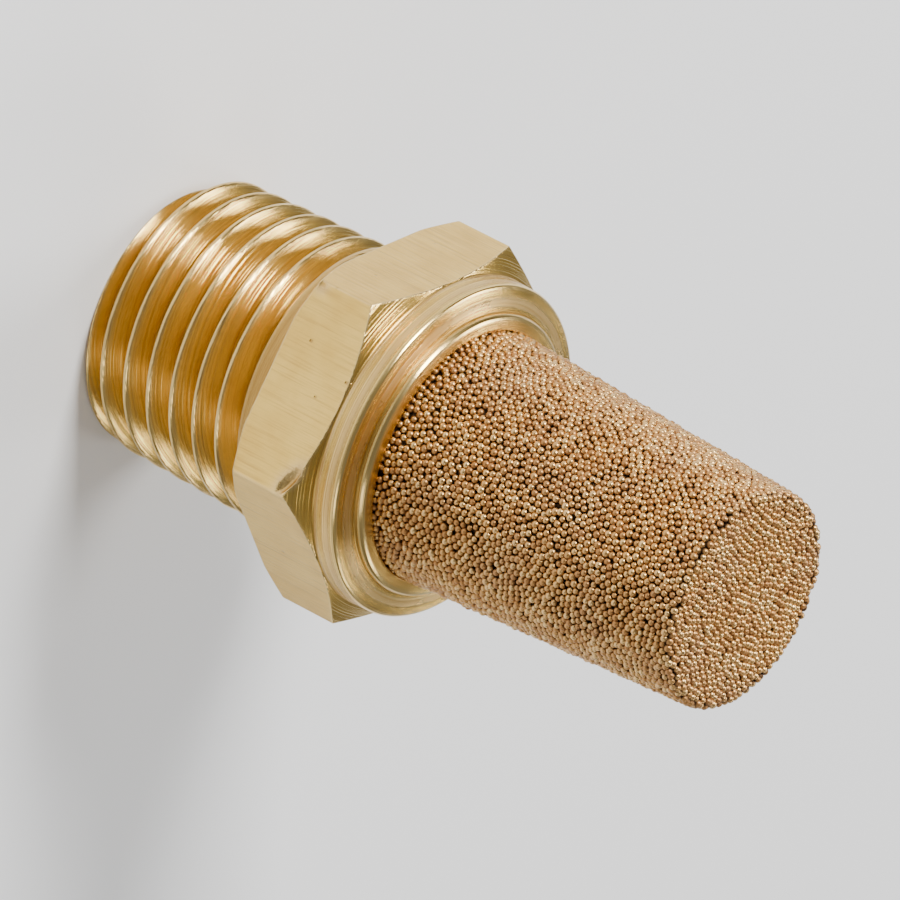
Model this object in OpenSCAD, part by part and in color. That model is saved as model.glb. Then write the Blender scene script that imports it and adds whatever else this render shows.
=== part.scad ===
// Pneumatic exhaust muffler: a turned brass body with a male taper pipe thread, a spanner
// hexagon and a rolled lip, holding a hollow sintered bronze cup that lets the air out.
// Millimetres. The origin is the centre of the threaded end face, and +Z runs along the
// axis towards the closed end of the sintered cup. Two hexagon corners lie on the X axis.

/* [Taper pipe thread] */
// Diameter over the crests at the threaded end face
thread_d = 13.1; // [12.9:0.05:13.3]
// Threads per inch
thread_tpi = 18; // [17:1:19]
// Radial depth of the thread from crest to root
thread_depth = 1; // [0.8:0.05:1.05]
// Length from the threaded end face to the back of the hexagon
thread_len = 11.05; // [10:0.05:12]
// Size of the 45 degree chamfer at the threaded end
end_chamfer = 0.45; // [0.2:0.05:0.6]

/* [Hexagon] */
// Width of the hexagon across its flats
hex_af = 16; // [15.8:0.1:17]
// Height of a hexagon corner edge between its two crown chamfers
hex_edge_h = 2.95; // [2.5:0.05:3.5]
// Diameter of the flat back face, where the back chamfer starts
hex_back_d = 16.7; // [16.2:0.1:17]
// Angle of the crown chamfers, measured from the face
crown_angle = 30; // [20:1:35]

/* [Turned nose] */
// Diameter of the turned collar in front of the hexagon
collar_d = 15.9; // [15.4:0.1:16]
// Height of the collar's shoulder above the threaded end face
shoulder_z = 16.5; // [16.2:0.05:16.55]
// Radius of the rounding on the collar's shoulder
shoulder_r = 0.25; // [0.1:0.05:0.4]
// Height of the top of the rolled lip
lip_z = 17.05; // [17:0.05:17.3]
// Width of the rolled lip's ring round the cup
lip_w = 0.75; // [0.65:0.05:0.9]
// Thickness of the lip where it hooks over the cup
lip_t = 0.75; // [0.6:0.05:0.9]
// Radius of the rounding outside the lip
lip_r = 0.3; // [0.1:0.05:0.3]

/* [Bores] */
// Diameter of the inlet bore
inlet_d = 8.4; // [7.6:0.1:8.8]
// Size of the 45 degree chamfer at the inlet's mouth
inlet_chamfer = 0.4; // [0.2:0.05:0.6]
// Diameter of the socket that the sintered cup is pressed into
socket_d = 12.2; // [12.15:0.05:12.4]
// Height of the socket's floor above the threaded end face
seat_z = 12.4; // [12:0.1:13]

/* [Sintered cup] */
// Diameter of the cup where it leaves the rolled lip
cup_base_d = 12; // [11.8:0.05:12.1]
// Diameter of the cup's cone at its closed end, before rounding
cup_tip_d = 10.3; // [9.8:0.1:11]
// Height of the cup's closed end above the threaded end face
cup_top_z = 33.3; // [30:0.1:36]
// Radius of the rounding round the closed end
cup_round = 0.4; // [0.2:0.1:1.2]
// Wall thickness of the cup at its open foot
cup_wall = 2; // [1.6:0.05:2.3]
// Thickness of the closed end
cup_end_wall = 3; // [2:0.1:4]

/* [Hidden] */

inch = 25.4;
overlap = 0.5;

// Thread: a 60 degree form cut as one right-hand helical groove into a 1:16 cone
taper_slope = 1 / 32;
thread_half_angle = 30;
pitch = inch / thread_tpi;
thread_r = thread_d / 2;
crest_w = 0.17;
root_w = pitch - crest_w - 2 * thread_depth * tan(thread_half_angle);
root_phase = -43;
groove_start_turn = -1;
groove_end_gap = 0.75;
steps_per_turn = 40;
runout_turns = 0.3;
groove_turns = (thread_len - groove_end_gap) / pitch - groove_start_turn;

// Hexagon
hex_r = hex_af / 2 / cos(30);
crown_slope = tan(crown_angle);
hex_z0 = thread_len;
hex_edge_z0 = hex_z0 + (hex_r - hex_back_d / 2) * crown_slope;
hex_edge_z1 = hex_edge_z0 + hex_edge_h;
crown_reach = hex_r + overlap;

// Turned nose
collar_r = collar_d / 2;
collar_z0 = hex_edge_z1 + (hex_r - collar_r) * crown_slope;
mouth_r = cup_base_d / 2;
lip_outer_r = mouth_r + lip_w;
lip_edge_r = 0.08;
face_rise = 0.12;

// Sintered cup
socket_top_z = lip_z - lip_t;
cavity_base_r = socket_d / 2 - cup_wall;
cup_slope = (mouth_r - cup_tip_d / 2) / (cup_top_z - lip_z);
cavity_top_z = cup_top_z - cup_end_wall;
cavity_tip_r = cavity_base_r - cup_slope * (cavity_top_z - seat_z);

$fn = 96;

// Points of an arc round [r, z], from angle a0 to a1
function arc(r, z, radius, a0, a1, n = 6) =
    [for (i = [0:n]) let (a = a0 + (a1 - a0) * i / n) [r + radius * cos(a), z + radius * sin(a)]];

// Cross-section of the groove at one turn of the helix: root flat, then beyond the crest
function groove_ring(turn, depth) =
    let (
        a = root_phase + 360 * turn,
        z = pitch * turn,
        crest_r = thread_r + taper_slope * z,
        out_r = crest_r + overlap,
        root_r = crest_r - depth,
        mouth = root_w / 2 + (depth + overlap) * tan(thread_half_angle),
        outline = [[root_r, -root_w / 2], [root_r, root_w / 2], [out_r, mouth], [out_r, -mouth]]
    )
    [for (p = outline) [p[0] * cos(a), p[0] * sin(a), z + p[1]]];

// The groove's depth shrinks over the last part of a turn
function groove_depth(turn, last) = thread_depth * min(1, max(0.02, (last - turn) / runout_turns));

module helical_groove() {
    last = groove_start_turn + groove_turns;
    rings = ceil(groove_turns * steps_per_turn);
    turns = [for (i = [0:rings]) groove_start_turn + groove_turns * i / rings];
    points = [for (t = turns) each groove_ring(t, groove_depth(t, last))];
    sides = [for (i = [0:rings - 1]) for (k = [0:3])
        let (a = 4 * i + k, b = 4 * i + (k + 1) % 4)
        each [[a, a + 4, b + 4], [a, b + 4, b]]];
    caps = [[0, 1, 2], [0, 2, 3], [4 * rings, 4 * rings + 2, 4 * rings + 1],
        [4 * rings, 4 * rings + 3, 4 * rings + 2]];
    polyhedron(points = points, faces = concat(sides, caps), convexity = 10);
}

module thread_blank() {
    top = hex_z0 + overlap;
    rotate_extrude()
        polygon([[0, 0], [thread_r - end_chamfer, 0], [thread_r + taper_slope * end_chamfer, end_chamfer],
            [thread_r + taper_slope * top, top], [0, top]]);
}

// The hexagon bar with both ends crowned by turning
module crowned_hexagon() {
    back_r = hex_back_d / 2;
    intersection() {
        translate([0, 0, hex_z0])
            cylinder(h = collar_z0 - hex_z0, r = hex_r, $fn = 6);
        rotate_extrude()
            polygon([[0, hex_z0], [back_r, hex_z0],
                [crown_reach, hex_z0 + (crown_reach - back_r) * crown_slope],
                [crown_reach, hex_edge_z1 - overlap * crown_slope],
                [collar_r, collar_z0], [0, collar_z0]]);
    }
}

// The turned collar, its sloping front face and the lip rolled in against the cup
module nose() {
    rotate_extrude()
        polygon(concat(
            [[0, collar_z0 - overlap], [collar_r, collar_z0 - overlap]],
            arc(collar_r - shoulder_r, shoulder_z - shoulder_r, shoulder_r, 0, 75),
            [[lip_outer_r, shoulder_z + face_rise]],
            arc(lip_outer_r - lip_r, lip_z - lip_r, lip_r, 0, 90),
            arc(mouth_r + lip_edge_r, lip_z - lip_edge_r, lip_edge_r, 90, 180, 4),
            [[0, lip_z - lip_edge_r]]));
}

module bores() {
    translate([0, 0, -overlap])
        cylinder(h = seat_z + 2 * overlap, d = inlet_d);
    translate([0, 0, -overlap])
        cylinder(h = overlap + inlet_chamfer, r1 = inlet_d / 2 + inlet_chamfer + overlap, r2 = inlet_d / 2);
    translate([0, 0, seat_z])
        cylinder(h = socket_top_z - seat_z, d = socket_d);
    translate([0, 0, seat_z])
        cylinder(h = lip_z - seat_z + overlap, r = mouth_r);
}

module threaded_body() {
    color([0.80, 0.62, 0.28])
        difference() {
            union() {
                difference() {
                    thread_blank();
                    helical_groove();
                }
                crowned_hexagon();
                nose();
            }
            bores();
        }
}

// A hollow cup: a cylindrical foot in the socket, then a cone with a rounded closed end
module sintered_cup() {
    round_z = cup_top_z - cup_round;
    tip_r = mouth_r - cup_slope * (round_z - lip_z);
    color([0.66, 0.50, 0.30])
        rotate_extrude()
            polygon(concat(
                [[cavity_base_r, seat_z], [socket_d / 2, seat_z], [socket_d / 2, socket_top_z],
                    [mouth_r, socket_top_z], [mouth_r, lip_z]],
                arc(tip_r - cup_round, round_z, cup_round, 0, 90),
                [[0, cup_top_z], [0, cavity_top_z], [cavity_tip_r, cavity_top_z]]));
}

threaded_body();
sintered_cup();
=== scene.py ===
"""Pneumatic muffler: a turned brass body and a sintered bronze cup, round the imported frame.

Lengths are in millimetres until a mesh is made. Axis +Z runs from the threaded end to the cup.
"""
import math

import bmesh
import bpy
import numpy as np
from mathutils import Matrix, Vector, kdtree


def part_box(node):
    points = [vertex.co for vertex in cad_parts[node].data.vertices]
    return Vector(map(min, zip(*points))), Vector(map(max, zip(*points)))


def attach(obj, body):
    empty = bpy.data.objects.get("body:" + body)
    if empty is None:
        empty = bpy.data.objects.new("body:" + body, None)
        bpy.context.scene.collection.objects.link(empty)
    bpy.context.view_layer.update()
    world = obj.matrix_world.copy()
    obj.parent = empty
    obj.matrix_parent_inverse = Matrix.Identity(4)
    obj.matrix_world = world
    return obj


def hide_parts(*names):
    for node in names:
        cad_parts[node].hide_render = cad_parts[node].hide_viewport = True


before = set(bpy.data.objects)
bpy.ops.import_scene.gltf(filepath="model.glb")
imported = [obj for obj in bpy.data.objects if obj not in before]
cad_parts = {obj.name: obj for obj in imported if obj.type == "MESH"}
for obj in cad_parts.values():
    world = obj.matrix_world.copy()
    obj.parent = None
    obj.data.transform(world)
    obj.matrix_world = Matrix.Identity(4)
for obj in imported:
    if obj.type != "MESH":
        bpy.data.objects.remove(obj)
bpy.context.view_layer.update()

MM = 0.001
TINY = 1e-6

# Driving sizes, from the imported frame
body_low, body_high = (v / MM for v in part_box("threaded_body"))
cup_low, cup_high = (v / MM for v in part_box("sintered_cup"))
HEX_FLAT_R = (body_high.y - body_low.y) / 2
LIP_Z = body_high.z
SEAT_Z = cup_low.z
SOCKET_R = (cup_high.x - cup_low.x) / 2
CUP_TOP_Z = cup_high.z

# Thread
THREAD_R = 6.55
THREAD_DEPTH = 1.0
TAPER_SLOPE = 1 / 32
PITCH = 25.4 / 18
CREST_W = 0.17
ROOT_W = PITCH - CREST_W - 2 * THREAD_DEPTH * math.tan(math.radians(30))
ROOT_PHASE = math.radians(-43)
FLANK_ROUND = 0.07
END_CHAMFER = 0.45
RUNOUT_TURNS = 0.3
THREAD_END_Z = 10.3
THREAD_TOP_Z = 10.93

# Hexagon
HEX_BACK_Z = 11.05
HEX_BACK_R = 8.35
HEX_EDGE_H = 2.95
HEX_CORNER_R = HEX_FLAT_R / math.cos(math.radians(30))
HEX_CORNER_ROUND = 0.13
HEX_EDGE_ROUND = 0.07
CROWN = math.radians(30)

# Nose: collar, shoulder, sloping face and rolled lip
COLLAR_R = 7.95
SHOULDER_Z = 16.5
SHOULDER_DROP = 0.02
SHOULDER_ROUND = 0.25
FACE_RISE = 0.12
MOUTH_R = 6.0
LIP_W = 0.75
LIP_T = 0.75
LIP_ROUND = 0.3
LIP_EDGE_ROUND = 0.08
SOCKET_TOP_Z = LIP_Z - LIP_T

# Bore
INLET_R = 4.2
INLET_CHAMFER = 0.4

# Small roundings: at the neck, in plain corners and behind the lip
NECK_ROUND = 0.06
SMALL_ROUND = 0.05
BEHIND_LIP_ROUND = 0.02

# Depths of the turning marks
COLLAR_MARKS = 0.009
FACE_MARKS = 0.010
LIP_MARKS = 0.004

# Body's grid: counts of its columns and rows
FLAT_COLUMNS = 38
CORNER_COLUMNS = 7
ROWS_PER_PITCH = 24
FLAT_ROWS = 20
CROWN_ROWS = 10
COLLAR_ROWS = 22
FACE_ROWS = 18
LIP_ROWS = 5
BORE_ROWS = 8

# Body's grid: where rows lie beside corners, round the hexagon's back chamfer and in the bore
ROW_GAP = 0.03
BACK_FACE_R = 7.4
BEFORE_CHAMFER_INSET = 0.16
AFTER_CHAMFER_INSET = 0.12
CHAMFER_FADE = 0.08
BORE_TOP_GAP = 1.0
BORE_END_GAP = 0.2
END_FACE_GAP = 0.05
MERGE_DIST = 2e-4

# Knocks on the hexagon's edges: azimuth and tilt in degrees, height, half length, half width, depth
KNOCKS = [
    (115.9, -26, 14.50, 0.88, 0.27, 0.24),
    (61.0, 0, 11.75, 0.25, 0.20, 0.06),
]
KNOCK_REACH = 0.6

# Wear: the bend it starts at, how much more bend gives the most, and how it spreads to neighbours
WEAR_FROM = math.radians(3)
WEAR_SPAN = math.radians(11)
WEAR_PASSES = 2
WEAR_KEPT = 0.8

# Cup's wall
CUP_TIP_R = 5.15
CUP_ROUND = 0.4
CUP_WALL = 2.0
CUP_END_WALL = 3.0
CUP_SLOPE = (MOUTH_R - CUP_TIP_R) / (CUP_TOP_Z - LIP_Z)
CORE_DEPTH = 0.24
CORE_SIDES = 96
CUP_SIDE_POINTS = 40
CUP_ROUND_POINTS = 12
CUP_END_POINTS = 20
CAVITY_END_POINTS = 8
CAVITY_END_SHARE = 0.97
CAVITY_SIDE_POINTS = 24
CAVITY_GAP = 0.1

# Grains: their sizes, and how far they stand out of the cup
GRAIN_SPACING = 0.335
GRAIN_CELL = 0.866 * GRAIN_SPACING ** 2
GRAIN_R = 0.182
GRAIN_R_SPREAD = 0.07
GRAIN_R_LEAST = 0.82
GRAIN_R_MOST = 1.16
GRAIN_PROUD = 0.02
GRAIN_PROUD_SPREAD = 0.022
GRAIN_END_ROUND = 0.28
HIDDEN_GRAINS_H = 0.3
END_PROUD = 0.05

# Grains: how they are thrown on the cup and then pushed apart until they lie evenly
JITTER = 0.35 * GRAIN_SPACING
JITTER_LEAST_R = 0.2
SPREAD_PASSES = 14
NEIGHBOURS = 7
REST_GAP = 1.12 * GRAIN_SPACING
PUSH_SHARE = 0.45
PUSH_LEAST_R = 0.1
SMALL_STEP = 0.01

# Colours
BRASS = (0.82, 0.55, 0.14)
BRASS_BLOTCH = (0.71, 0.45, 0.10)
BRASS_HOLLOW = (0.32, 0.15, 0.04)
BRASS_EDGE = (0.95, 0.74, 0.38)
# Painted shade, in the grooves of the fine lines and on the neck behind the hexagon
BRASS_SHADE = (0.36, 0.19, 0.05)
BRASS_PIT = (0.28, 0.14, 0.05)
BRONZE_DARK = (0.42, 0.20, 0.065)
BRONZE = (0.63, 0.35, 0.115)
BRONZE_PALE = (0.81, 0.53, 0.21)
BRONZE_DULL = (0.46, 0.27, 0.14)
# Painted shade, with some tarnish, deep in the pores between the grains
BRONZE_DEEP_SHADE_AND_TARNISH = (0.09, 0.048, 0.024)
# Painted shade of the bronze down in the pores and inside the cup
BRONZE_WALL_SHADE = (0.16, 0.09, 0.045)

# Neck behind the hexagon, where shade is painted on the brass: heights and radii over which the
# painted shade fades
NECK_LOW_Z = (THREAD_END_Z - 1.1, THREAD_END_Z - 0.5)
NECK_HIGH_Z = (HEX_BACK_Z + 0.3, HEX_BACK_Z + 0.1)
NECK_OUTER_R = (7.6, 7.2)
NECK_CREST_R = THREAD_R + TAPER_SLOPE * THREAD_END_Z
NECK_INNER_R = (NECK_CREST_R - 0.16, NECK_CREST_R - 0.06)

# Camera: angles in degrees, sensor and lens in millimetres, clipping in metres
CAMERA_AZIMUTH = 85.99
CAMERA_ELEVATION = 32.56
CAMERA_ROLL = 117.24
CAMERA_DISTANCE = 529
CAMERA_TARGET_Z = 16.23
CAMERA_LENS = 480
CAMERA_SENSOR = 36
CAMERA_CLIP = (0.05, 5)

# Lights: azimuth and elevation in degrees, distance and size in metres, and glow in watts per
# square metre and steradian
LIGHTS = [
    ("key", 30, 38, 0.55, 0.16, 60),
    ("back_left", 220, 36, 0.60, 0.15, 7),
    ("back_right", 318, 43, 0.60, 0.20, 17),
    ("back", 270, 46, 0.60, 0.12, 12),
    ("front_left", 150, 28, 0.60, 0.20, 3),
]
LIGHTS_TARGET_Z = 15
SKY_GLOW = 0.24

# Floor: half width in metres
FLOOR_HALF = 2
FLOOR_GREY = 0.9
FLOOR_ROUGHNESS = 0.9


# ---------------------------------------------------------------- meshes

def make_piece(name, verts, faces, node):
    """A mesh piece in metres that rides on the one body and stands for a CAD node."""
    mesh = bpy.data.meshes.new(name)
    mesh.from_pydata([tuple(v * MM) for v in verts], [], faces)
    mesh.validate()
    piece = bpy.data.objects.new(name, mesh)
    bpy.context.scene.collection.objects.link(piece)
    mesh.polygons.foreach_set("use_smooth", [True] * len(mesh.polygons))
    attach(piece, "root")
    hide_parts(node)
    return piece


def store_vectors(mesh, name, values):
    """Keeps three numbers for each point of a mesh, which its material reads."""
    attribute = mesh.attributes.new(name, "FLOAT_VECTOR", "POINT")
    attribute.data.foreach_set("vector", values.astype(np.float32).reshape(-1))


# ---------------------------------------------------------------- turned body

def even_shares(count):
    """Shares between 0 and 1, without the ends, evenly spaced."""
    return np.linspace(0, 1, count + 2)[1:-1]


def crowded_shares(count):
    """Shares between 0 and 1, without the ends, close together near both ends."""
    return 0.5 - 0.5 * np.cos(math.pi * even_shares(count))


def heading(a):
    """Unit vector at that angle, across the axis."""
    return np.array([math.cos(a), math.sin(a)])


def hexagon_columns():
    """Angle and radius of each column of the body's grid: a hexagon with rounded corners."""
    centre_r = (HEX_FLAT_R - HEX_CORNER_ROUND) / math.cos(math.radians(30))
    points = []
    for k in range(6):
        corner = math.radians(60 * k)
        for a in corner + np.radians(np.linspace(-30, 30, CORNER_COLUMNS)):
            points.append(heading(corner) * centre_r + HEX_CORNER_ROUND * heading(a))
        after = corner + math.radians(60)
        start = points[-1]
        end = heading(after) * centre_r + HEX_CORNER_ROUND * heading(after - math.radians(30))
        points += [start + (end - start) * s for s in crowded_shares(FLAT_COLUMNS)]
    points = np.array(points)
    angle = np.unwrap(np.arctan2(points[:, 1], points[:, 0]))
    return angle, np.hypot(points[:, 0], points[:, 1])


def soft_step(x, width):
    """Rises from 0 to 1 between x = 0 and x = 1, with both corners rounded over that width."""
    t = np.clip(x, -width, 1 + width)
    low = np.where(t < width, (t + width) ** 2 / (4 * width), t)
    high = np.where(t > 1 - width, (1 + width - t) ** 2 / (4 * width), 1 - t)
    return np.where(t < 0.5, low, 1 - high)


def thread_radius(angle, z):
    """Radius of the helical thread at an angle and height, with its run-out and end chamfer."""
    crest_r = THREAD_R + TAPER_SLOPE * z
    turn = z / PITCH - (angle - ROOT_PHASE) / (2 * math.pi)
    nearest = np.round(turn)
    off_root = np.abs(turn - nearest) * PITCH
    groove_turn = nearest + (angle - ROOT_PHASE) / (2 * math.pi)
    depth = THREAD_DEPTH * np.clip((THREAD_END_Z / PITCH - groove_turn) / RUNOUT_TURNS, 0, 1)
    flank = (off_root - ROOT_W / 2) / ((PITCH - CREST_W - ROOT_W) / 2)
    threaded = crest_r - depth * (1 - soft_step(flank, FLANK_ROUND))
    return np.minimum(threaded, THREAD_R - END_CHAMFER + z * (1 + TAPER_SLOPE))


def thread_rows(angle):
    """Helical rows from the end face to the neck, as (radius, height) per column."""
    climb = PITCH * (angle - ROOT_PHASE) / (2 * math.pi)
    climb_start = PITCH * np.min(angle - ROOT_PHASE) / (2 * math.pi)
    rows = []
    for j in range(int(math.ceil(THREAD_TOP_Z / PITCH + 1)) * ROWS_PER_PITCH + 1):
        z = (j - ROWS_PER_PITCH) * PITCH / ROWS_PER_PITCH + climb
        z = np.clip(z - climb_start, 0, THREAD_TOP_Z)
        rows.append((thread_radius(angle, z), z))
    return rows


def corner_rows(r, z, angle_in, angle_out, radius, count):
    """Rows of a rounded corner at (r, z) on the profile, between two directions in radians."""
    side = np.sign(angle_out - angle_in)
    reach = radius * np.tan(np.abs(angle_out - angle_in) / 2)
    start_r, start_z = r - reach * np.cos(angle_in), z - reach * np.sin(angle_in)
    centre_r = start_r - side * radius * np.sin(angle_in)
    centre_z = start_z + side * radius * np.cos(angle_in)
    rows = [(start_r - ROW_GAP * np.cos(angle_in), start_z - ROW_GAP * np.sin(angle_in))]
    for share in np.linspace(0, 1, count):
        a = angle_in + (angle_out - angle_in) * share
        rows.append((centre_r + side * radius * np.sin(a), centre_z - side * radius * np.cos(a)))
    end_r, end_z = rows[-1]
    rows.append((end_r + ROW_GAP * np.cos(angle_out), end_z + ROW_GAP * np.sin(angle_out)))
    return rows


def between(row_a, row_b, shares):
    """Rows at those shares of the way from one row to another."""
    return [tuple(a + (b - a) * s for a, b in zip(row_a, row_b)) for s in shares]


def turned_rows(rows, rng, depth):
    """The same rows, moved in and out along the profile's normal as fine turning marks."""
    rows = np.array([[np.mean(r), np.mean(z)] for r, z in rows])
    along = np.gradient(rows, axis=0)
    along /= np.linalg.norm(along, axis=1)[:, None]
    marks = rng.uniform(-1, 1, len(rows)) * depth
    marks[:2] = marks[-2:] = 0
    return [(r + t[1] * m, z - t[0] * m) for (r, z), t, m in zip(rows, along, marks)]


def body_profile(hex_r):
    """Rows of the body after its thread, as (radius, height) per column, tagged turned or drawn."""
    rng = np.random.default_rng(7)
    right, up, left, down = 0.0, math.pi / 2, math.pi, 1.5 * math.pi
    crown_rise = math.tan(CROWN)
    rows = []

    def add(tag, new):
        rows.extend((tag, row) for row in new)

    def all_round(value):
        return np.full_like(hex_r, value)

    # Back face of the hexagon, out to its chamfer
    neck_r = THREAD_R + TAPER_SLOPE * HEX_BACK_Z
    before = np.minimum(hex_r - BEFORE_CHAMFER_INSET, HEX_BACK_R - ROW_GAP)
    after = np.minimum(hex_r - AFTER_CHAMFER_INSET, HEX_BACK_R + ROW_GAP)
    after_z = HEX_BACK_Z + np.maximum(after - HEX_BACK_R, 0) * crown_rise
    add("turned", corner_rows(neck_r, HEX_BACK_Z, up, right, NECK_ROUND, 3))
    add("turned", [(all_round(BACK_FACE_R), all_round(HEX_BACK_Z))])
    add("turned", [(before, all_round(HEX_BACK_Z)), (after, after_z)])

    # Flats of the hexagon, between its chamfered edges
    chamfered = np.clip((hex_r - HEX_BACK_R) / CHAMFER_FADE, 0, 1)
    edge_low = HEX_BACK_Z + np.maximum(hex_r - HEX_BACK_R, 0) * crown_rise
    edge_top = HEX_BACK_Z + (HEX_CORNER_R - HEX_BACK_R) * crown_rise + HEX_EDGE_H
    edge_high = edge_top + (HEX_CORNER_R - hex_r) * crown_rise
    off_back, onto_crown = CROWN * chamfered, all_round(math.pi - CROWN)
    back_corner = corner_rows(hex_r, edge_low, off_back, all_round(up), HEX_EDGE_ROUND, 4)
    front_corner = corner_rows(hex_r, edge_high, all_round(up), onto_crown, HEX_EDGE_ROUND, 4)
    low, high = back_corner[-1], front_corner[0]
    add("turned", back_corner[:-1])
    add("drawn", [low] + between(low, high, crowded_shares(FLAT_ROWS)) + [high])
    add("turned", front_corner[1:])

    # Crown cone, collar, shoulder and sloping face
    lip_r = MOUTH_R + LIP_W
    slope = math.atan2(FACE_RISE, COLLAR_R - SHOULDER_ROUND - lip_r)
    collar_z = edge_top + (HEX_CORNER_R - COLLAR_R) * crown_rise
    cone_foot = corner_rows(COLLAR_R, collar_z, math.pi - CROWN, up, SMALL_ROUND, 3)
    shoulder_z = SHOULDER_Z - SHOULDER_DROP
    shoulder = corner_rows(COLLAR_R, shoulder_z, up, left - slope, SHOULDER_ROUND, 9)
    lip_foot = corner_rows(lip_r, SHOULDER_Z + FACE_RISE, left - slope, up, SMALL_ROUND, 4)
    collar = cone_foot + between(cone_foot[-1], shoulder[0], even_shares(COLLAR_ROWS))
    face = between(shoulder[-1], lip_foot[0], even_shares(FACE_ROWS))
    face = [shoulder[-1]] + face + [lip_foot[0]]
    add("turned", between(front_corner[-1], cone_foot[0], even_shares(CROWN_ROWS)))
    add("turned", turned_rows(collar, rng, COLLAR_MARKS))
    add("turned", shoulder)
    add("turned", turned_rows(face, rng, FACE_MARKS)[1:-1])

    # Rolled lip and its mouth
    lip = corner_rows(lip_r, LIP_Z, up, left, LIP_ROUND, 9)
    mouth = corner_rows(MOUTH_R, LIP_Z, left, down, LIP_EDGE_ROUND, 4)
    lip_top = [lip[-1]] + between(lip[-1], mouth[0], even_shares(LIP_ROWS)) + [mouth[0]]
    add("turned", lip_foot[:-1])
    add("turned", lip[1:-1])
    add("turned", turned_rows(lip_top, rng, LIP_MARKS))
    add("turned", mouth[1:-1])

    # Inside: back of the lip, socket, seat, inlet bore and its chamfer
    bore_z = np.linspace(SEAT_Z - BORE_TOP_GAP, INLET_CHAMFER + BORE_END_GAP, BORE_ROWS)
    end_r = INLET_R + INLET_CHAMFER
    add("turned", corner_rows(MOUTH_R, SOCKET_TOP_Z, down, 2 * math.pi, BEHIND_LIP_ROUND, 3)[1:-1])
    add("turned", [(SOCKET_R, SOCKET_TOP_Z)])
    add("turned", corner_rows(SOCKET_R, SEAT_Z, down, left, SMALL_ROUND, 3)[1:-1])
    add("turned", corner_rows(INLET_R, SEAT_Z, left, down, SMALL_ROUND, 3))
    add("turned", [(INLET_R, z) for z in bore_z])
    add("turned", [(INLET_R, INLET_CHAMFER), (end_r, 0.0), (end_r + END_FACE_GAP, 0.0)])
    return rows


def knock(verts):
    """Moves the points near each knock in towards the axis."""
    for azimuth, tilt, z, length, width, depth in KNOCKS:
        a, t = math.radians(azimuth), math.radians(tilt)
        facing = math.radians(60 * math.floor(azimuth / 60) + 30)
        r = HEX_FLAT_R / math.cos(a - facing)
        away = verts - np.array([r * math.cos(a), r * math.sin(a), z])
        out = away[:, 0] * math.cos(facing) + away[:, 1] * math.sin(facing)
        across = away[:, 1] * math.cos(facing) - away[:, 0] * math.sin(facing)
        along = across * math.cos(t) + away[:, 2] * math.sin(t)
        beside = away[:, 2] * math.cos(t) - across * math.sin(t)
        gap = (along / length) ** 2 + (out / KNOCK_REACH) ** 2 + (beside / width) ** 2
        push = depth * np.clip(1 - gap, 0, 1)
        verts[:, 0] -= push * math.cos(facing)
        verts[:, 1] -= push * math.sin(facing)
    return verts


def store_wear(mesh):
    """Attribute "wear": from 0 to 1, x is how sharp an edge a point is on, y how sharp a hollow."""
    shape = bmesh.new()
    shape.from_mesh(mesh)
    bends = np.array([edge.calc_face_angle_signed(0.0) for edge in shape.edges])
    ends = np.array([[v.index for v in edge.verts] for edge in shape.edges])
    shape.free()
    count = len(mesh.vertices)
    value = np.zeros((count, 3))
    for column, sign in ((0, 1), (1, -1)):
        sharp = np.clip((sign * bends - WEAR_FROM) / WEAR_SPAN, 0, 1)
        np.maximum.at(value[:, column], ends[:, 0], sharp)
        np.maximum.at(value[:, column], ends[:, 1], sharp)
        for _ in range(WEAR_PASSES):
            total, near = np.zeros(count), np.zeros(count)
            for a, b in (ends.T, ends.T[::-1]):
                np.add.at(total, a, value[b, column])
                np.add.at(near, a, 1)
            spread = total / np.maximum(near, 1)
            value[:, column] = np.maximum(value[:, column] * WEAR_KEPT, spread)
    store_vectors(mesh, "wear", value)


def make_body():
    """One closed grid: helical rows on the thread, then plain rows round the profile and back."""
    angle, hex_r = hexagon_columns()
    columns = len(angle)
    rows = thread_rows(angle)
    helical = len(rows) - 1
    drawn = [False] * len(rows)
    for tag, row in body_profile(hex_r):
        rows.append(tuple(np.broadcast_to(v, angle.shape) for v in row))
        drawn.append(tag == "drawn")
    grid = [np.stack([r * np.cos(angle), r * np.sin(angle), z], -1) for r, z in rows]
    verts = knock(np.array(grid).reshape(-1, 3))

    def index(row, column):
        # past the last column, a helical row carries on as the row one pitch higher
        if column == columns:
            column = 0
            if row <= helical:
                row = min(row + ROWS_PER_PITCH, helical)
        return row * columns + column

    faces, on_flat = [], []
    for row in range(len(rows)):
        after = (row + 1) % len(rows)
        for left in range(columns):
            right = left + 1
            quad = ((row, left), (row, right), (after, right), (after, left))
            faces.append(tuple(index(*place) for place in quad))
            on_flat.append(int(drawn[row] and drawn[after]))
    piece = make_piece("turned_body", verts, faces, "threaded_body")
    piece.data.polygons.foreach_set("material_index", on_flat)
    clean = bmesh.new()
    clean.from_mesh(piece.data)
    bmesh.ops.remove_doubles(clean, verts=clean.verts, dist=MERGE_DIST * MM)
    bmesh.ops.recalc_face_normals(clean, faces=clean.faces)
    clean.to_mesh(piece.data)
    clean.free()
    store_wear(piece.data)
    return piece


# ---------------------------------------------------------------- sintered cup

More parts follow.
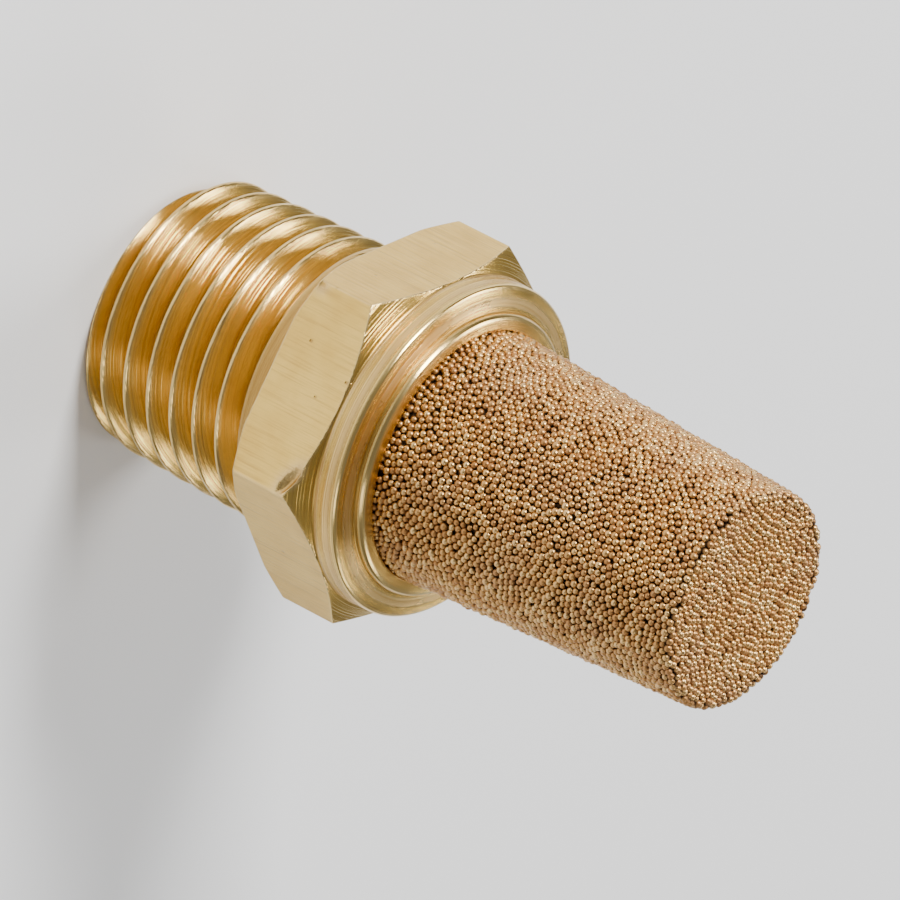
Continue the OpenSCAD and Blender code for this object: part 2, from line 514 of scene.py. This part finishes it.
def cup_outline(inset, end_round, end_z):
    """Radius and height along the cup's outside, from inside the lip to the centre of its end."""
    round_z = end_z - end_round
    tip_r = MOUTH_R - CUP_SLOPE * (round_z - LIP_Z)
    bend = end_round - inset
    points = [(MOUTH_R - inset, LIP_Z - HIDDEN_GRAINS_H), (MOUTH_R - inset, LIP_Z)]
    for z in np.linspace(LIP_Z, round_z, CUP_SIDE_POINTS)[1:]:
        points.append((MOUTH_R - inset - CUP_SLOPE * (z - LIP_Z), z))
    for a in np.linspace(0, math.pi / 2, CUP_ROUND_POINTS)[1:]:
        points.append((tip_r - end_round + bend * math.cos(a), round_z + bend * math.sin(a)))
    for r in np.linspace(tip_r - end_round, 0.0, CUP_END_POINTS)[1:]:
        points.append((r, end_z - inset))
    return np.array(points)


def core_profile():
    """Closed profile of the cup's wall: its foot in the socket, its outside and its cavity."""
    foot = [(SOCKET_R - CUP_WALL, SEAT_Z), (SOCKET_R, SEAT_Z)]
    foot += [(SOCKET_R, SOCKET_TOP_Z), (MOUTH_R, SOCKET_TOP_Z)]
    outer = [tuple(p) for p in cup_outline(CORE_DEPTH, CUP_ROUND, CUP_TOP_Z)]
    cavity_top = CUP_TOP_Z - CUP_END_WALL
    cavity_side = np.linspace(cavity_top - CAVITY_GAP, SEAT_Z + CAVITY_GAP, CAVITY_SIDE_POINTS)
    tip_r = SOCKET_R - CUP_WALL - CUP_SLOPE * (cavity_top - SEAT_Z)
    inner = [(tip_r * s, cavity_top) for s in np.linspace(0, CAVITY_END_SHARE, CAVITY_END_POINTS)]
    inner += [(tip_r + CUP_SLOPE * (cavity_top - z), z) for z in cavity_side]
    return foot + outer + inner


def make_cup_core():
    """The cup's closed wall, a little inside the outer grains: it fills the pores' floors."""
    turns = np.linspace(0, 2 * math.pi, CORE_SIDES, endpoint=False)
    verts, faces, rings = [], [], []
    for r, z in core_profile():
        if r < TINY:
            rings.append([len(verts)] * CORE_SIDES)
            verts.append((0.0, 0.0, z))
            continue
        rings.append(list(range(len(verts), len(verts) + CORE_SIDES)))
        verts += [(r * math.cos(a), r * math.sin(a), z) for a in turns]
    for low, high in zip(rings, rings[1:] + rings[:1]):
        for k in range(CORE_SIDES):
            on = (k + 1) % CORE_SIDES
            face = tuple(dict.fromkeys((low[k], low[on], high[on], high[k])))
            if len(face) > 2:
                faces.append(face)
    return make_piece("cup_core", np.array(verts), faces, "sintered_cup")


def place_grains(rng):
    """Evenly crowded random points on the cup's outside, and the cup's normal at each."""
    outline = cup_outline(GRAIN_R - GRAIN_PROUD, GRAIN_END_ROUND, CUP_TOP_Z + END_PROUD)
    step = np.hypot(*np.diff(outline, axis=0).T)
    length = np.concatenate([[0], np.cumsum(step)])
    area = np.concatenate([[0], np.cumsum(math.pi * (outline[1:, 0] + outline[:-1, 0]) * step)])
    count = int(area[-1] / GRAIN_CELL)
    golden = math.pi * (3 - math.sqrt(5))
    last_s = length[-1] - 2 * SMALL_STEP

    def radius_at(s):
        return np.interp(s, length, outline[:, 0])

    def on_cup(s, phi):
        r, z = radius_at(s), np.interp(s, length, outline[:, 1])
        return np.stack([r * np.cos(phi), r * np.sin(phi), z], -1)

    def round_way(phi):
        return np.stack([-np.sin(phi), np.cos(phi), np.zeros(count)], -1)

    s = np.interp((np.arange(count) + 0.5) / count * area[-1], area, length)
    phi = np.arange(count) * golden
    s += rng.normal(0, JITTER, count)
    phi += rng.normal(0, JITTER, count) / np.maximum(radius_at(s), JITTER_LEAST_R)
    for _ in range(SPREAD_PASSES):
        s = np.clip(s, 0, last_s)
        p = on_cup(s, phi)
        tree = kdtree.KDTree(count)
        for i, co in enumerate(p):
            tree.insert(co, i)
        tree.balance()
        near = np.array([[found[1] for found in tree.find_n(co, NEIGHBOURS + 1)[1:]] for co in p])
        away = p[:, None, :] - p[near]
        gap = np.linalg.norm(away, axis=2)
        push = np.clip(1 - gap / REST_GAP, 0, 1) * GRAIN_SPACING * PUSH_SHARE
        move = (away / np.maximum(gap, TINY)[..., None] * push[..., None]).sum(1)
        ahead = on_cup(s + SMALL_STEP, phi) - p
        ahead /= np.linalg.norm(ahead, axis=1)[:, None]
        turn = (move * round_way(phi)).sum(1) / np.maximum(np.hypot(p[:, 0], p[:, 1]), PUSH_LEAST_R)
        s = s + (move * ahead).sum(1)
        phi = phi + turn
    s = np.clip(s, 0, last_s)
    ahead = on_cup(s + SMALL_STEP, phi) - on_cup(s - SMALL_STEP, phi)
    normal = np.cross(round_way(phi), ahead)
    normal /= np.linalg.norm(normal, axis=1)[:, None]
    return on_cup(s, phi), normal


def grain_shape():
    """Points and triangles of a unit icosphere."""
    ball = bmesh.new()
    bmesh.ops.create_icosphere(ball, subdivisions=2, radius=1.0)
    points = np.array([v.co[:] for v in ball.verts])
    triangles = np.array([[v.index for v in f.verts] for f in ball.faces])
    ball.free()
    return points, triangles


def random_turns(rng, count):
    """That many random rotation matrices."""
    spin = rng.normal(size=(count, 4))
    spin /= np.linalg.norm(spin, axis=1)[:, None]
    w, x, y, z = spin.T
    matrix = [
        [1 - 2 * (y * y + z * z), 2 * (x * y - z * w), 2 * (x * z + y * w)],
        [2 * (x * y + z * w), 1 - 2 * (x * x + z * z), 2 * (y * z - x * w)],
        [2 * (x * z - y * w), 2 * (y * z + x * w), 1 - 2 * (x * x + y * y)],
    ]
    return np.array(matrix).transpose(2, 0, 1)


def make_grains():
    """The fused grains in three pieces by height. Attribute "grain": x is a tone, y how far out."""
    rng = np.random.default_rng(43)
    centres, normals = place_grains(rng)
    points, triangles = grain_shape()
    count = len(centres)
    scatter = rng.normal(1.0, GRAIN_R_SPREAD, count)
    radius = GRAIN_R * scatter.clip(GRAIN_R_LEAST, GRAIN_R_MOST)
    centres = centres + normals * rng.normal(0, GRAIN_PROUD_SPREAD, count)[:, None]
    tone = rng.uniform(0, 1, count)
    turn = random_turns(rng, count)
    names = ("grains_lower", "grains_middle", "grains_upper")
    by_height = np.array_split(np.argsort(centres[:, 2]), len(names))
    made = []
    for name, chosen in zip(names, by_height):
        size = radius[chosen][:, None]
        ball = np.einsum("nij,pj->npi", turn[chosen], points) * size[..., None]
        verts = (ball + centres[chosen][:, None, :]).reshape(-1, 3)
        first = np.arange(len(chosen))[:, None, None] * len(points)
        faces = (triangles[None] + first).reshape(-1, 3)
        piece = make_piece(name, verts, faces.tolist(), "sintered_cup")
        tones = np.repeat(tone[chosen], len(points))
        proud = ((ball * normals[chosen][:, None, :]).sum(2) / size).reshape(-1)
        store_vectors(piece.data, "grain", np.stack([tones, proud, np.zeros(len(verts))], -1))
        made.append(piece)
    return made


# ---------------------------------------------------------------- materials

class Nodes:
    """Short calls that add nodes to one material and link them."""

    def __init__(self, name):
        self.material = bpy.data.materials.new(name)
        self.material.use_nodes = True
        self.tree = self.material.node_tree
        self.shader = self.tree.nodes["Principled BSDF"]

    def put(self, socket, value):
        """Links an output to a socket, or sets the socket to a plain value."""
        if isinstance(value, bpy.types.NodeSocket):
            self.tree.links.new(value, socket)
        else:
            socket.default_value = value

    def position(self):
        """Position on the piece, in millimetres."""
        place = self.tree.nodes.new("ShaderNodeTexCoord")
        return self.vector("MULTIPLY", place.outputs["Object"], (1 / MM,) * 3)

    def vector(self, operation, a, b):
        """One step of arithmetic on vectors."""
        made = self.tree.nodes.new("ShaderNodeVectorMath")
        made.operation = operation
        self.put(made.inputs[0], a)
        self.put(made.inputs[1], b)
        return made.outputs["Vector"]

    def maths(self, operation, a, b=0.0):
        """One step of arithmetic on numbers."""
        made = self.tree.nodes.new("ShaderNodeMath")
        made.operation = operation
        self.put(made.inputs[0], a)
        self.put(made.inputs[1], b)
        return made.outputs["Value"]

    def times(self, a, *others):
        """The product of two or more numbers."""
        for b in others:
            a = self.maths("MULTIPLY", a, b)
        return a

    def split(self, vector):
        """The three parts of a vector."""
        made = self.tree.nodes.new("ShaderNodeSeparateXYZ")
        self.put(made.inputs[0], vector)
        return made.outputs["X"], made.outputs["Y"], made.outputs["Z"]

    def attribute(self, name):
        """The three numbers that a mesh keeps for each point."""
        made = self.tree.nodes.new("ShaderNodeAttribute")
        made.attribute_name = name
        return self.split(made.outputs["Vector"])

    def noise(self, where, scale, detail, sharp=0.5, line=False):
        """Noise from 0 to 1 in space, or along a line if where is one number."""
        made = self.tree.nodes.new("ShaderNodeTexNoise")
        made.noise_dimensions = "1D" if line else "3D"
        self.put(made.inputs["W" if line else "Vector"], where)
        made.inputs["Scale"].default_value = scale
        made.inputs["Detail"].default_value = detail
        made.inputs["Roughness"].default_value = sharp
        return made.outputs["Fac"]

    def cells(self, where, scale):
        """Distance to the nearest of some scattered points, and a random number for each point."""
        made = self.tree.nodes.new("ShaderNodeTexVoronoi")
        self.put(made.inputs["Vector"], where)
        made.inputs["Scale"].default_value = scale
        return made.outputs["Distance"], self.split(made.outputs["Color"])[0]

    def remap(self, value, low, high, to_low=0.0, to_high=1.0):
        """Moves the range low to high onto to_low to to_high, and holds its ends."""
        made = self.tree.nodes.new("ShaderNodeMapRange")
        numbers = (value, low, high, to_low, to_high)
        for socket, number in zip(made.inputs, numbers):
            self.put(socket, number)
        return made.outputs["Result"]

    def blend(self, share, a, b):
        """Colour a where share is 0 and colour b where it is 1."""
        made = self.tree.nodes.new("ShaderNodeMix")
        made.data_type = "RGBA"
        self.put(made.inputs["Factor"], share)
        colours = [socket for socket in made.inputs if socket.type == "RGBA"]
        for socket, colour in zip(colours, (a, b)):
            self.put(socket, colour if isinstance(colour, bpy.types.NodeSocket) else (*colour, 1))
        return next(socket for socket in made.outputs if socket.type == "RGBA")

    def bump(self, height, depth):
        """Bumps of that depth in millimetres."""
        made = self.tree.nodes.new("ShaderNodeBump")
        made.inputs["Strength"].default_value = 1.0
        made.inputs["Distance"].default_value = depth * MM
        self.put(made.inputs["Height"], height)
        self.put(self.shader.inputs["Normal"], made.outputs["Normal"])

    def finish(self, colour, roughness):
        """Bare metal of that colour and roughness."""
        self.shader.inputs["Metallic"].default_value = 1.0
        self.put(self.shader.inputs["Base Color"], colour)
        self.put(self.shader.inputs["Roughness"], roughness)
        return self.material


def brass_coat(n, place, lines):
    """Colour and roughness of blotchy brass: dull in hollows, pale on edges, with painted shade in
    the grooves of its lines.
    """
    edge, hollow, _ = n.attribute("wear")
    blotch = n.noise(place, scale=0.55, detail=3)
    colour = n.blend(n.remap(blotch, 0.35, 0.7), BRASS, BRASS_BLOTCH)
    colour = n.blend(n.times(hollow, 0.65), colour, BRASS_HOLLOW)
    colour = n.blend(n.times(edge, 0.5), colour, BRASS_EDGE)
    # painted shade in the low grooves of the fine lines
    colour = n.blend(n.remap(lines, 0.52, 0.28, 0.0, 0.5), colour, BRASS_SHADE)
    rough = n.maths("ADD", n.remap(blotch, 0.3, 0.7, 0.15, 0.24), n.times(hollow, 0.15))
    return colour, rough


def turned_brass(name):
    """Brass off the lathe: fine rings round the axis, and painted shade on the neck behind the
    hexagon.
    """
    n = Nodes(name)
    place = n.position()
    x, y, z = n.split(place)
    radius = n.maths("SQRT", n.maths("ADD", n.times(x, x), n.times(y, y)))
    along = n.maths("ADD", z, n.times(radius, 1.3))
    lines = n.noise(along, scale=12.0, detail=3, sharp=0.75, line=True)
    colour, rough = brass_coat(n, place, lines)
    heights = n.times(n.remap(z, *NECK_LOW_Z), n.remap(z, *NECK_HIGH_Z))
    radii = n.times(n.remap(radius, *NECK_OUTER_R), n.remap(radius, *NECK_INNER_R))
    # painted shade on the neck behind the hexagon
    colour = n.blend(n.times(heights, radii, 0.7), colour, BRASS_SHADE)
    n.bump(lines, depth=0.028)
    return n.finish(colour, rough)


def drawn_brass(name):
    """Brass as the bar was drawn: fine lines along the axis, and a few pits."""
    n = Nodes(name)
    place = n.position()
    stretched = n.vector("MULTIPLY", place, (9.0, 9.0, 0.22))
    lines = n.noise(stretched, scale=1.0, detail=3, sharp=0.65)
    colour, rough = brass_coat(n, place, lines)
    gap, pick = n.cells(place, scale=0.85)
    pit = n.times(n.remap(gap, 0.09, 0.04), n.remap(pick, 0.6, 0.65))
    colour = n.blend(n.times(pit, 0.6), colour, BRASS_PIT)
    n.bump(n.maths("SUBTRACT", lines, pit), depth=0.026)
    return n.finish(colour, rough)


def bronze_grains(name):
    """Fused bronze grains: each its own tone, dull low down in the pores and darkened there by
    tarnish and painted shade.
    """
    n = Nodes(name)
    place = n.position()
    tone, proud, _ = n.attribute("grain")
    open_air = n.remap(proud, -0.1, 0.62)
    dull = n.noise(place, scale=0.35, detail=3)
    colour = n.blend(n.remap(tone, 0.0, 0.55), BRONZE_DARK, BRONZE)
    colour = n.blend(n.remap(tone, 0.6, 1.0), colour, BRONZE_PALE)
    colour = n.blend(n.remap(dull, 0.45, 0.75, 0.0, 0.4), colour, BRONZE_DULL)
    # painted shade, with some tarnish, where the grains face down into the pores
    colour = n.blend(open_air, BRONZE_DEEP_SHADE_AND_TARNISH, colour)
    own_rough = n.remap(tone, 0.0, 1.0, 0.42, 0.28)
    rough = n.maths("ADD", own_rough, n.remap(open_air, 0.0, 1.0, 0.3, 0.0))
    n.bump(n.noise(place, scale=22.0, detail=2, sharp=0.6), depth=0.006)
    return n.finish(colour, rough)


def bronze_wall(name):
    """Bronze seen down in the pores or inside the cup: dark painted shade, darkest between bumps of
    the grain's size.
    """
    n = Nodes(name)
    place = n.position()
    gap, pick = n.cells(place, scale=1 / GRAIN_SPACING)
    # painted shade: the wall's colour stands for the shade in the pores, darker still between the
    # bumps
    shade_between_bumps = tuple(0.35 * c for c in BRONZE_WALL_SHADE)
    darker = tuple(0.6 * c for c in BRONZE_WALL_SHADE)
    shade = n.blend(n.remap(gap, 0.25, 0.65), BRONZE_WALL_SHADE, shade_between_bumps)
    shade = n.blend(n.remap(pick, 0.0, 1.0, 0.0, 0.3), shade, darker)
    n.bump(n.remap(gap, 0.0, 0.7, 1.0, 0.0), depth=0.15)
    return n.finish(shade, n.remap(pick, 0.0, 1.0, 0.45, 0.65))


# ---------------------------------------------------------------- stage

def direction(azimuth, elevation):
    """Unit vector that points that way, from angles in degrees."""
    a, e = math.radians(azimuth), math.radians(elevation)
    return Vector((math.cos(a) * math.cos(e), math.sin(a) * math.cos(e), math.sin(e)))


def make_camera():
    """The camera: a long lens, rolled so that the axis runs down to the right."""
    data = bpy.data.cameras.new("camera")
    data.lens = CAMERA_LENS
    data.sensor_width = CAMERA_SENSOR
    data.clip_start, data.clip_end = CAMERA_CLIP
    camera = bpy.data.objects.new("camera", data)
    bpy.context.scene.collection.objects.link(camera)
    target = Vector((0, 0, CAMERA_TARGET_Z)) * MM
    back = direction(CAMERA_AZIMUTH, CAMERA_ELEVATION)
    place = Matrix.Translation(target + back * CAMERA_DISTANCE * MM)
    facing = (-back).to_track_quat("-Z", "Y").to_matrix().to_4x4()
    camera.matrix_world = place @ facing @ Matrix.Rotation(math.radians(CAMERA_ROLL), 4, "Z")
    bpy.context.scene.camera = camera


def make_floor():
    """A plain pale floor, on which the threaded end stands."""
    h = FLOOR_HALF
    mesh = bpy.data.meshes.new("floor")
    mesh.from_pydata([(-h, -h, 0), (h, -h, 0), (h, h, 0), (-h, h, 0)], [], [(0, 1, 2, 3)])
    floor = bpy.data.objects.new("floor", mesh)
    bpy.context.scene.collection.objects.link(floor)
    material = bpy.data.materials.new("floor")
    material.use_nodes = True
    shader = material.node_tree.nodes["Principled BSDF"]
    shader.inputs["Base Color"].default_value = (FLOOR_GREY, FLOOR_GREY, FLOOR_GREY, 1)
    shader.inputs["Roughness"].default_value = FLOOR_ROUGHNESS
    mesh.materials.append(material)


def add_light(name, azimuth, elevation, distance, size, glow):
    """A square soft light that faces the object."""
    data = bpy.data.lights.new(name, "AREA")
    data.shape = "SQUARE"
    data.size = size
    data.energy = glow * math.pi * size ** 2
    light = bpy.data.objects.new(name, data)
    away = direction(azimuth, elevation)
    light.location = away * distance + Vector((0, 0, LIGHTS_TARGET_Z * MM))
    light.rotation_euler = away.to_track_quat("Z", "Y").to_euler()
    bpy.context.scene.collection.objects.link(light)


def light_scene():
    """An even white sky and the soft lights."""
    world = bpy.data.worlds.new("studio")
    bpy.context.scene.world = world
    world.use_nodes = True
    sky = world.node_tree.nodes["Background"]
    sky.inputs["Color"].default_value = (1, 1, 1, 1)
    sky.inputs["Strength"].default_value = SKY_GLOW
    for light in LIGHTS:
        add_light(*light)


make_camera()
body = make_body()
body.data.materials.append(turned_brass("turned_brass"))
body.data.materials.append(drawn_brass("drawn_brass"))
core = make_cup_core()
core.data.materials.append(bronze_wall("bronze_pores"))
grain_metal = bronze_grains("bronze_grains")
for piece in make_grains():
    piece.data.materials.append(grain_metal)
make_floor()
light_scene()
